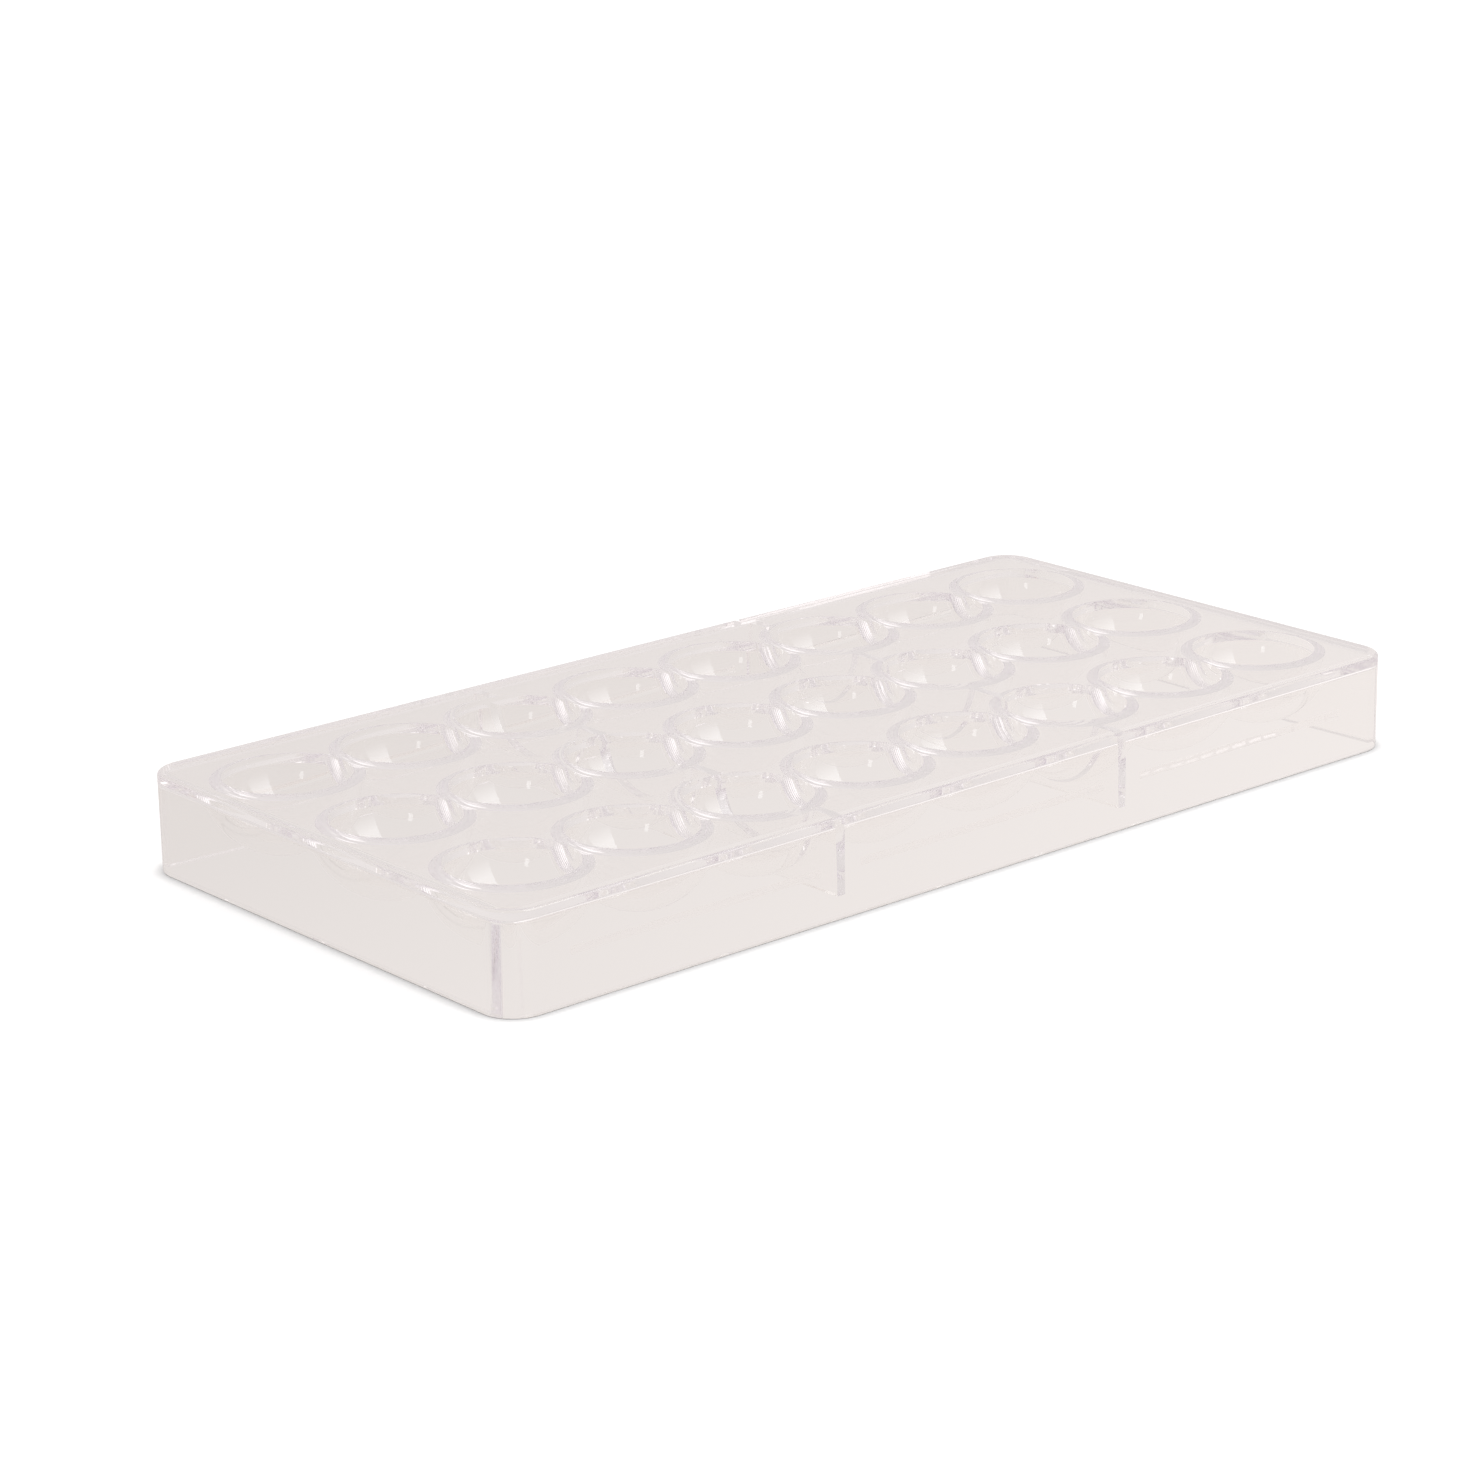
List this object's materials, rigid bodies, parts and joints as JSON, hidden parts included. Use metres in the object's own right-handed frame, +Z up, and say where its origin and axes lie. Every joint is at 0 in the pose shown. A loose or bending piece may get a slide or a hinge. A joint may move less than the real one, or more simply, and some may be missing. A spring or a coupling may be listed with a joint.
{
  "type": "chocolate mould",
  "caption": "Clear moulded tray with rows of half-ball cavities in its top plate, a skirt wall all round and two cross ribs under the plate.",
  "frame": {"origin": "centre of the footprint, on the surface that the skirt wall stands on", "axes": "+Z up, towards the face with the cavities; X along the eight cavities of a row; Y across the three rows"},
  "size_m": [0.275, 0.135, 0.024],
  "materials": {
    "clear_polycarbonate": "polished clear polycarbonate, water-clear with a very slight warm cast"
  },
  "bodies": {
    "root": {"mould": "clear_polycarbonate"}
  },
  "joints": []
}
